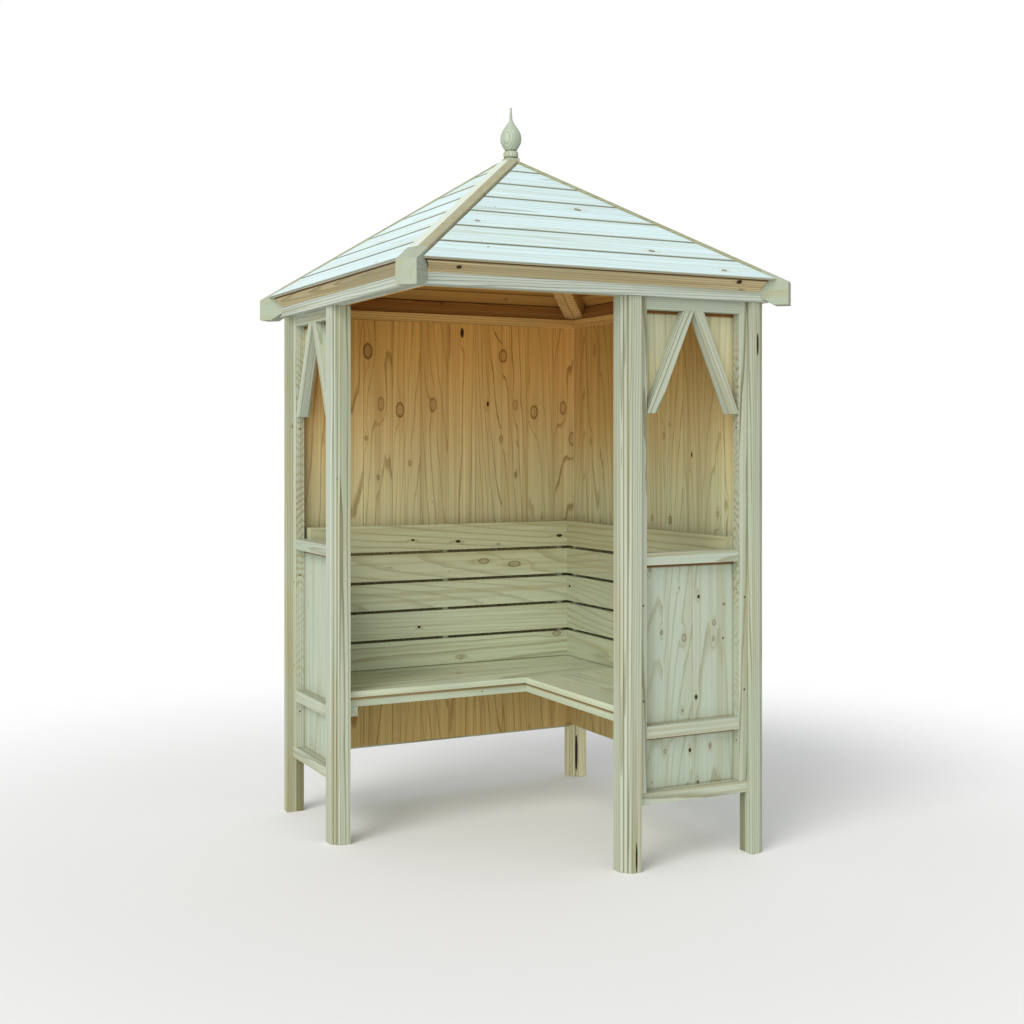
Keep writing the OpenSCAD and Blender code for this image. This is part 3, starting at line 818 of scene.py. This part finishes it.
PANEL = changed(PINE, early=(178, 188, 170), late=(138, 136, 100), width=BOARD, aside=2.4,
                heart=0.10, knot=0.005, every=0.2, share=0.3, ring=0.0046, line=0.7, bend=0.004, figure=0.6,
                streak=0.4, inside=0.35, vary=0.02, tone=framed)
# The spandrels are painted warmer than the panel boards: painted shade.
SPANDREL = changed(PANEL, early=(198, 192, 152), late=(150, 140, 98))
STILE = changed(PINE, tone=sawn)
ARM = changed(PINE, early=(175, 183, 165))
print("panel boards: knots every", PANEL["every"], "m at most")

# %% [markdown]
# ## Bench
#
# The bench and its back are painted the palest wood inside: painted light, for the doorway's light
# on their wide, flat faces. The upper slats are painted browner, painted shade as on the wall. Under
# the edge of the seat the rail has a brown line, a painted shadow, and the rail is painted darker.

# %% Bench
def backing(finish, tint, x, y, z, lie):
    """Back slats: the upper ones are browner, painted shade."""
    # painted shade, browner toward the top
    return finish.multiplied(z.ramp(0.62, 0.98), tint, (0.88, 0.82, 0.70, 1.0))


def nosing(finish, tint, x, y, z, lie):
    """Bench rail: a painted shadow, a brown line under the edge of the seat, and painted shade that
    makes the rail a little darker than the seat.
    """
    # painted shade: the rail darker than the seat
    tint = finish.multiplied(1.0, tint, (0.86, 0.86, 0.84, 1.0))
    # painted shadow under the edge of the seat
    return finish.multiplied(z.ramp(0.447, 0.454) * 0.85, tint, colour(188, 140, 86))


# The seat and the back are painted paler than pine: painted light.
SEAT = changed(PINE, early=(204, 214, 188), late=(140, 138, 96), warm=(172, 166, 122),
               width=BOARD, aside=4.0, heart=0.09, ring=0.0046, line=0.62, bend=0.004, figure=0.55,
               knot=0.005, share=0.2, streak=0.45)
BACK = changed(SEAT, early=(200, 208, 179), late=(142, 137, 97), cool=(180, 195, 169),
               inside=0.3, tone=backing)
# The second seat back is a darker copy: painted shade.
BACK_B = changed(BACK, early=(182, 188, 160), late=(128, 123, 86), cool=(164, 177, 150))
SEAT_RAIL = changed(SEAT, tone=nosing)
print("bench pith:", SEAT["heart"], "m behind the face, so that its arches are wide")

# %% [markdown]
# ## Roof
#
# Rain and sun have bleached the roof boards almost white. Under the lip of each course and on the
# lip itself the boards have painted shadow, and the undersides are painted as brown as the walls:
# painted shade. One hip cap is painted pale on its sunny face and tan on the other: painted light
# and shade. The eaves battens are painted brown where they are seen from under the roof, and dark
# in the corner below the boards: painted shade.

# %% Roof
UNDER_LIP = (0.010, 0.005)
LIP = (0.0035, 0.0015)
EAVES_FACE = 0.600


def bleached(finish, tint, x, y, z, lie):
    """Roof boards: painted shadow under the lip of the course above and painted shade on the lip;
    the underside is painted brown: painted shade.
    """
    under = lie["low_edge"].ramp(COURSE - UNDER_LIP[0], COURSE - UNDER_LIP[1])
    lip = lie["low_edge"].ramp(*LIP)
    # painted shadow under the lip of the course above
    tint = finish.mix(under * 0.7, tint, colour(112, 110, 62))
    # painted shade on the lip
    tint = finish.mix(lip * 0.7, tint, colour(150, 134, 82))
    # painted shade: the underside brown
    return finish.multiplied(lie["depth"].ramp(0.003, 0.001), tint, (1.0, 0.44, 0.11, 1.0))


def two_faced(finish, tint, x, y, z, lie):
    """Hip cap, painted light and shade: the face turned to the sun is painted pale, the other tan."""
    right = lie["across"].ramp(-0.001, 0.001)
    # painted light on the face turned to the sun
    return finish.mix(right, finish.mix(0.75, tint, colour(228, 238, 228)), tint)


def under_eaves(turns):
    """Eaves batten, painted shade: brown on the side seen from under the roof, dark in the corner
    below the boards.
    """
    def tone(finish, tint, x, y, z, lie):
        # painted shade: brown on the side seen from under the roof
        tint = finish.multiplied(indoors(x, y, EAVES_FACE), tint, (0.9, 0.56, 0.26, 1.0))
        below = quarter(down_slope, turns)(x, y, z)["depth"]
        # painted shadow in the corner below the boards
        return finish.multiplied(below.ramp(-0.0075, -0.003), tint, colour(104, 90, 64))
    return tone


ROOF = changed(PINE, early=(214, 236, 239), late=(172, 186, 168), warm=(192, 198, 172),
               cool=(198, 224, 228), width=BOARD, aside=1.5, figure=0.65, line=0.6, knot=0.006,
               every=0.3, share=0.4, bark=0.8, tone=bleached, vary=0.06, streak=0.4)
# The left roof is painted paler than the other sides: painted light, as the sun comes from the left.
ROOF_LEFT = changed(ROOF, early=(221, 241, 245), cool=(206, 231, 237))
# The other hip caps are painted a darker olive than pine: painted shade.
CAP = changed(PINE, early=(158, 160, 128), late=(122, 122, 88), warm=(140, 138, 100),
              cool=(166, 168, 142))
CAP_FRONT = changed(CAP, early=(176, 173, 144), late=(136, 128, 94), warm=(156, 148, 110),
                    tone=two_faced)
TAIL = changed(PINE, early=(168, 177, 158), late=(146, 148, 116), warm=(164, 164, 130),
               ring=0.007, share=0.0, lines=0.15)
# The rafters are painted a warm tan for the shade under the roof: painted shade.
RAFTER = changed(PINE, early=(232, 194, 130), late=(190, 142, 80), warm=(204, 160, 98),
                 cool=(214, 178, 118))
EAVES = changed(PINE, early=(196, 181, 138), late=(122, 106, 70), warm=(150, 132, 92),
                cool=(166, 164, 136), line=0.5, share=0.4)
print("roof boards are", round(ROOF["early"][1] / PINE["early"][1], 2), "times as bright as pine")

# %% [markdown]
# ## Posts and finial
#
# The outer corner of each post is cut off and worked into three round reeds. They are real shapes,
# and the painted shade in the grooves between them is a tone: it is laid by how deep a point is
# behind the cut corner. The finial was turned on a lathe, and it is darker in rings: at the foot of
# the collar and where it meets the bulb.

# %% Posts and finial
CHAMFER = 0.028
REEDS_WITHIN = 0.0276
FINIAL_GROOVES = (2.2315, 2.2548)


def reeded(node, to_x, to_y, fade=0.0):
    """Post: painted shade in the grooves between the reeds of the corner that points to_x, to_y.

    fade is how much paler the sunny face is painted, left of the reeds, and how much browner the
    other: painted light and shade."""
    mid = middle(node)

    def tone(finish, tint, x, y, z, lie):
        u, v = (x - mid[0]) * to_x, (y - mid[1]) * to_y
        deep = (POST - CHAMFER - (u + v)) / math.sqrt(2)
        # painted shade in the grooves between the reeds
        groove = deep.ramp(0.0003, 0.0022) * (abs(u - v) < REEDS_WITHIN)
        if fade:
            # painted light on the sunny face, painted shade on the other
            sunny = (u - v).ramp(-0.004, 0.004)
            tint = finish.multiplied(sunny * fade, tint, (1.07, 1.09, 1.15, 1.0))
            brown = (1.0 - sunny) * z.ramp(0.3, 1.2) * fade
            tint = finish.multiplied(brown, tint, (0.90, 0.88, 0.80, 1.0))
        return finish.multiplied(groove * 0.65, tint, colour(150, 140, 96))
    return tone


def turned(finish, tint, x, y, z, lie):
    """Finial: darker at the foot of the collar and where it meets the bulb."""
    line = nearest(z, FINIAL_GROOVES).ramp(0.0035, 0.0012)
    return finish.multiplied(line * 0.75, tint, colour(140, 130, 90))


FINIAL = changed(TAIL, early=(182, 192, 174), late=(134, 134, 100), tone=turned)
# Each post has its own copy of pine, painted paler or darker for the light it gets: painted light and shade.
# The back post is painted pale for the light that comes in under the bench.
POSTS = {
    "post_left": (changed(PINE, early=(178, 178, 148), late=(124, 114, 78)), -1, 1, 0.0),
    "post_right": (changed(PINE, early=(177, 184, 162)), 1, -1, 0.0),
    "post_front_left": (PINE, -1, -1, 1.0),
    "post_front_right": (changed(PINE, early=(180, 186, 165)), -1, -1, 0.0),
    "post_back": (changed(PINE, early=(230, 224, 186), late=(172, 162, 120)), -1, -1, 0.0),
}
print("posts:", len(POSTS), "cut off corner:", CHAMFER * 1000, "mm")

# %% [markdown]
# ## Which piece gets what
#
# Fifty-nine pieces could each have a line of their own, but they come in families. The table is
# filled in three goes: the pieces that stand in a square round the middle, by quarter turns; the
# posts and the finial; and the pairs of which one is the other in the mirror.

# %% Pieces round the middle
SIDES = {"front": 0, "side": 1, "back": 2, "left": 3}
CORNERS = {"front": 0, "right": 1, "back": 2, "left": 3}

table = {}
for way, turns in SIDES.items():
    table["ring_" + way] = (straight("ring_" + way, turns % 2), RING)
    table["eaves_batten_" + way] = (straight("eaves_batten_" + way, turns % 2),
                                     changed(EAVES, tone=under_eaves(turns)))
    table["roof_boards_" + way] = (quarter(down_slope, turns), ROOF_LEFT if way == "left" else ROOF)
    table["hip_rafters_" + way] = (quarter(under_hip, turns), RAFTER)
for way, turns in CORNERS.items():
    table["hip_cap_" + way] = (quarter(down_hip, turns), CAP_FRONT if way == "front" else CAP)
    table["hip_tail_" + way] = (quarter(outward, turns), TAIL)
for name, (look, to_x, to_y, fade) in POSTS.items():
    table[name] = (straight(name, 2, face=0), changed(look, tone=reeded(name, to_x, to_y, fade)))
for name in ("apex_block", "finial"):
    table[name] = (straight(name, 2), FINIAL)
print("pieces with a finish:", len(table))

# %% [markdown]
# Each row below stands for a pair. A row of boards has its start and its pitch, a frame the distance
# beyond which its end bars lie. The second wall and the second seat back are in deeper shade than
# the first and have looks of their own.

# %% Pairs
HALF_PANEL = (PANEL_OUT - PANEL_IN) / 2
RAILS_START, RAILS_APART = 0.15, 0.2
SEAT_START, SEAT_PITCH = 0.112, 0.11025
SLAT_START, SLAT_PITCH = 0.477, 0.1036
BATTENS_START, BATTENS_APART = -0.55, 0.5
WALL_END, SEAT_END, LEDGER_END = 0.501, 0.504, 0.496

seat_rows = rows(0, 1, 2, SEAT_START, SEAT_PITCH)
panel_halves = rows(2, 0, 1, PANEL_IN, HALF_PANEL)
IN_SHADE = {"wall_b_boards": WALL_B, "back_slats_b": BACK_B}
for key, lie, look in (
    # painted shade in the grooves between the wall boards
    ("wall_{}_boards", rows(2, 0, 1, WALL_FACE - CORNER_BOARD, BOARD, joint=-0.2), WALL),
    ("wall_{}_frame", crossed(0, 2, 0, 1, WALL_END), PINE),
    ("panel_{}_stiles", panel_halves, STILE),
    ("panel_{}_top_rail", straight("panel_r_top_rail", 0), PINE),
    ("panel_{}_arm_rail", straight("panel_r_arm_rail", 0), ARM),
    ("panel_{}_lower_rails", rows(0, 2, 1, RAILS_START, RAILS_APART), PINE),
    # painted light in the grooves between the panel boards, against their shade
    ("panel_{}_boards", rows(2, 0, 1, PANEL_IN, BOARD, joint=0.35), PANEL),
    ("panel_{}_brackets", slanting, PINE),
    ("panel_{}_spandrels", panel_halves, SPANDREL),
    ("seat_{}_boards", seat_rows, SEAT),
    ("seat_{}_frame", crossed(0, 1, 0, 2, SEAT_END), SEAT_RAIL),
    ("seat_ledgers_{}", crossed(0, 1, 0, 2, LEDGER_END), SEAT),
    ("back_slats_{}", rows(0, 2, 1, SLAT_START, SLAT_PITCH), BACK),
    ("back_battens_{}", rows(2, 0, 1, BATTENS_START, BATTENS_APART), BACK),
):
    first, second = ("r", "l") if key.startswith("panel") else ("a", "b")
    table[key.format(first)] = (lie, look)
    table[key.format(second)] = (mirrored(lie), IN_SHADE.get(key.format(second), look))
print("pieces with a finish:", len(table), "of", len(nodes))

# %% [markdown]
# ## Landmarks
#
# Each row is one knot or crack that can be made out: its height, or its place along the grain; its
# place across; half its width, in metres; the darkness, above 0.9 black right through; and how many
# times longer than wide it is.

# %% Knots and cracks that can be made out
MARKS = {
    "wall_a_boards": (
        (1.614, -0.294, 0.016, 0.7, 1.6), (1.425, -0.244, 0.012, 0.4, 1.9), (1.404, -0.17, 0.014, 0.65, 1.8),
        (1.424, -0.04, 0.013, 0.5, 1.8), (1.692, 0.078, 0.006, 1.0, 2.6), (1.43, 0.184, 0.004, 1.0, 2.2),
        (1.611, 0.247, 0.015, 0.6, 1.5), (1.428, 0.3, 0.01, 0.35, 1.9), (1.402, 0.379, 0.014, 0.6, 1.7),
        (1.419, 0.505, 0.013, 0.5, 1.8), (1.3, 0.24, 0.007, 0.6, 1.3), (1.302, -0.3, 0.006, 0.6, 1.3),
        (1.16, -0.255, 0.005, 0.7, 1.6), (1.165, 0.3, 0.005, 0.7, 1.6), (1.3, 0.545, 0.013, 0.5, 1.9)),
    "wall_b_boards": (
        (1.634, 0.393, 0.009, 0.4, 2.2), (1.29, 0.42, 0.006, 0.5, 1.6), (1.235, 0.17, 0.004, 1.0, 2.0),
        (1.31, -0.08, 0.006, 0.6, 1.9), (1.245, -0.25, 0.004, 1.0, 2.0), (1.02, -0.12, 0.009, 0.7, 1.5)),
    "panel_r_boards": (
        (0.808, 0.375, 0.004, 1.0, 1.4), (0.724, 0.433, 0.006, 0.6, 1.4), (0.497, 0.366, 0.005, 0.9, 1.4),
        (0.335, 0.343, 0.0045, 0.9, 1.4), (0.704, 0.239, 0.0045, 0.7, 1.6), (0.683, 0.321, 0.0075, 0.5, 1.5),
        (0.78, 0.471, 0.0035, 0.8, 1.0), (0.674, 0.467, 0.0035, 0.8, 1.0), (0.341, 0.418, 0.005, 0.6, 1.4),
        (0.34, 0.252, 0.0045, 0.6, 1.4), (0.233, 0.372, 0.004, 0.8, 1.3), (0.459, 0.315, 0.0035, 0.7, 1.3)),
    "back_slats_a": (
        (-0.148, 0.936, 0.0035, 1.0, 1.8), (0.03, 0.926, 0.0045, 1.0, 2.0), (0.134, 0.851, 0.009, 0.5, 2.2),
        (0.261, 0.835, 0.01, 0.5, 2.4), (-0.124, 0.623, 0.004, 1.0, 1.4), (0.452, 0.935, 0.005, 0.9, 2.2),
        (0.44, 0.566, 0.009, 0.5, 1.8)),
    "back_slats_b": ((0.463, 0.744, 0.004, 1.0, 1.6),),
    "post_right": ((1.592, 0.562, 0.0035, 1.0, 9.0),),
    "post_front_right": ((0.045, 0.117, 0.003, 1.0, 13.0),),
    "post_back": ((0.09, 0.56, 0.003, 1.0, 20.0),),
    "eaves_batten_front": (
        (-0.477, 1.774, 0.004, 1.0, 1.8), (0.473, 1.781, 0.005, 1.0, 1.8), (0.49, 1.757, 0.004, 0.7, 1.4)),
}
print("landmarks:", sum(len(marks) for marks in MARKS.values()), "on", len(MARKS), "pieces")

# %% [markdown]
# ## Putting the wood on
#
# One material shared by all pieces of a kind would give twins: the same arches on both posts. Each
# piece gets a material of its own with a seed of its own, from its place in the alphabet, so that
# no two have the same figure and every run gives the same arbor.

# %% Put the wood on
FIRST_SEED, NEXT_SEED = 11.3, 5.7

print("pieces without wood:", sorted(set(nodes) - set(table)))
for number, name in enumerate(sorted(table)):
    lie, look = table[name]
    material = wood(name, lie, look, FIRST_SEED + NEXT_SEED * number, MARKS.get(name, ()))
    piece = nodes[name]
    piece.data.materials.clear()
    piece.data.materials.append(material)
print("materials:", len(table))

# %% [markdown]
# ## Screws and nails
#
# The panels are screwed to the posts through their stiles, and the bench rails are nailed. Only the
# heads show, as small dark dots. Painted dots would do from afar, but a head catches the light, so
# each is a low dome, worked out as rings of points round its middle. All heads have the same number
# of points, so one grid of faces serves them all. Together they are one piece.

# %% Heads
RINGS, SPOKES = 14, 40
HUB = 0.04
LIFT = 0.0006
BAR, BAR_REACH = 0.16, 0.7
TO_FRONT, TO_LEFT = (0, -1, 0), (-1, 0, 0)


def head(place, facing, radius, recess):
    """Points of one round head, a low dome on the wood at `place`: its height is the lift times
    1 - (r / radius)^2, less the recess where a point lies in one of the two bars of a cross that
    reaches out to 0.7 of the radius."""
    r = np.linspace(HUB, 1.0, RINGS)[:, None] * radius
    turn = np.linspace(0, 2 * np.pi, SPOKES, endpoint=False)[None, :]
    u, v = r * np.cos(turn), r * np.sin(turn)
    cross = (np.minimum(abs(u), abs(v)) < BAR * radius) & (r < BAR_REACH * radius)
    height = LIFT * (1 - (r / radius) ** 2) - np.where(cross, recess, 0.0)
    out = np.array(facing, float)
    up = np.array((0.0, 0.0, 1.0))
    side = np.cross(up, out)
    points = np.array(place) + u[..., None] * side + v[..., None] * up + height[..., None] * out
    return points.reshape(-1, 3)


def pair(across, out, z, radius, recess):
    """The same head on the right side and, mirrored, on the left."""
    return [((across, out, z), TO_FRONT, radius, recess), ((out, across, z), TO_LEFT, radius, recess)]


print("points in a head:", RINGS * SPOKES)

# %% [markdown]
# A screw has a cross in its head and a nail has none. The screws sit in the middle of the frame's
# timbers, and the nails in the bench rails.

# %% Screws and nails
FRAME_SCREWS = ((0.154, 0.794), (0.154, 0.506), (0.527, 0.802), (0.526, 0.513))
SIDE_SCREWS = (1.333, 0.826, 0.354)
SIDE_SCREW_LINE = 0.563
SCREW, SCREW_CROSS = 0.0034, 0.0005
SIDE_SCREW, SIDE_SCREW_CROSS = 0.0030, 0.0004
NAIL = 0.0024

heads = [((-0.049, BENCH_FACE, 0.443), TO_FRONT, NAIL, 0.0),
         ((BENCH_FACE, -0.297, 0.449), TO_LEFT, NAIL, 0.0)]
for across, z in FRAME_SCREWS:
    heads += pair(across, -FRAME_FACE, z, SCREW, SCREW_CROSS)
for z in SIDE_SCREWS:
    heads += pair(-SIDE_SCREW_LINE, STILE_OUT, z, SIDE_SCREW, SIDE_SCREW_CROSS)

points = np.concatenate([head(*one) for one in heads])
number = np.arange(RINGS * SPOKES).reshape(RINGS, SPOKES)
after = np.roll(number, -1, axis=1)
quads = np.stack([number[:-1], number[1:], after[1:], after[:-1]], axis=-1).reshape(-1, 4)
first = np.arange(len(heads))[:, None, None] * number.size
faces = (quads + first).reshape(-1, 4).tolist() + (number[0] + first[:, 0]).tolist()

screw_mesh = bpy.data.meshes.new("screws")
screw_mesh.from_pydata(points.tolist(), [], faces)
screw_mesh.update()
screws = placed("screws", screw_mesh)
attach(screws, "root")
print("heads:", len(heads), "faces:", len(faces))

# %% [markdown]
# The steel has dulled and rusts here and there. The rust is the same random field as in the wood,
# with cells of one to two millimetres: it decides the colour and makes the steel rougher.

# %% Dulled steel
RUST_CELLS = 700

steel = Finish("dulled steel")
x, y, z = steel.xyz
rust = steel.noise(x * RUST_CELLS, y * RUST_CELLS, z * RUST_CELLS).ramp(-0.1, 0.2)
steel.set(Base_Color=steel.mix(rust, colour(70, 66, 58), colour(66, 46, 32)),
          Metallic=0.4, Roughness=0.55 + rust * 0.25)
screw_mesh.materials.append(steel.material)
print("rust cells to the metre:", RUST_CELLS)

# %% [markdown]
# ## Soft edges
#
# No planed edge is sharp to the touch: the plane and the weather leave about a millimetre of
# rounding, which catches a thin line of light. In the CAD model it would only add small faces, so
# it is made here: each piece has its triangles joined and is then rounded where two faces meet at
# more than thirty degrees. The round sides of the reeds and of the finial stay as they are.

# %% Edges
ARRIS = 0.0013
ARRIS_STEPS = 2
JOIN_WITHIN = 0.00002
SHARP = 30

for piece in nodes.values():
    weld = piece.modifiers.new("joined", "WELD")
    weld.merge_threshold = JOIN_WITHIN
    edge = piece.modifiers.new("arris", "BEVEL")
    edge.width = ARRIS
    edge.segments = ARRIS_STEPS
    edge.limit_method = "ANGLE"
    edge.angle_limit = math.radians(SHARP)
    edge.harden_normals = True
print("edges rounded by", ARRIS * 1000, "mm")

# %% [markdown]
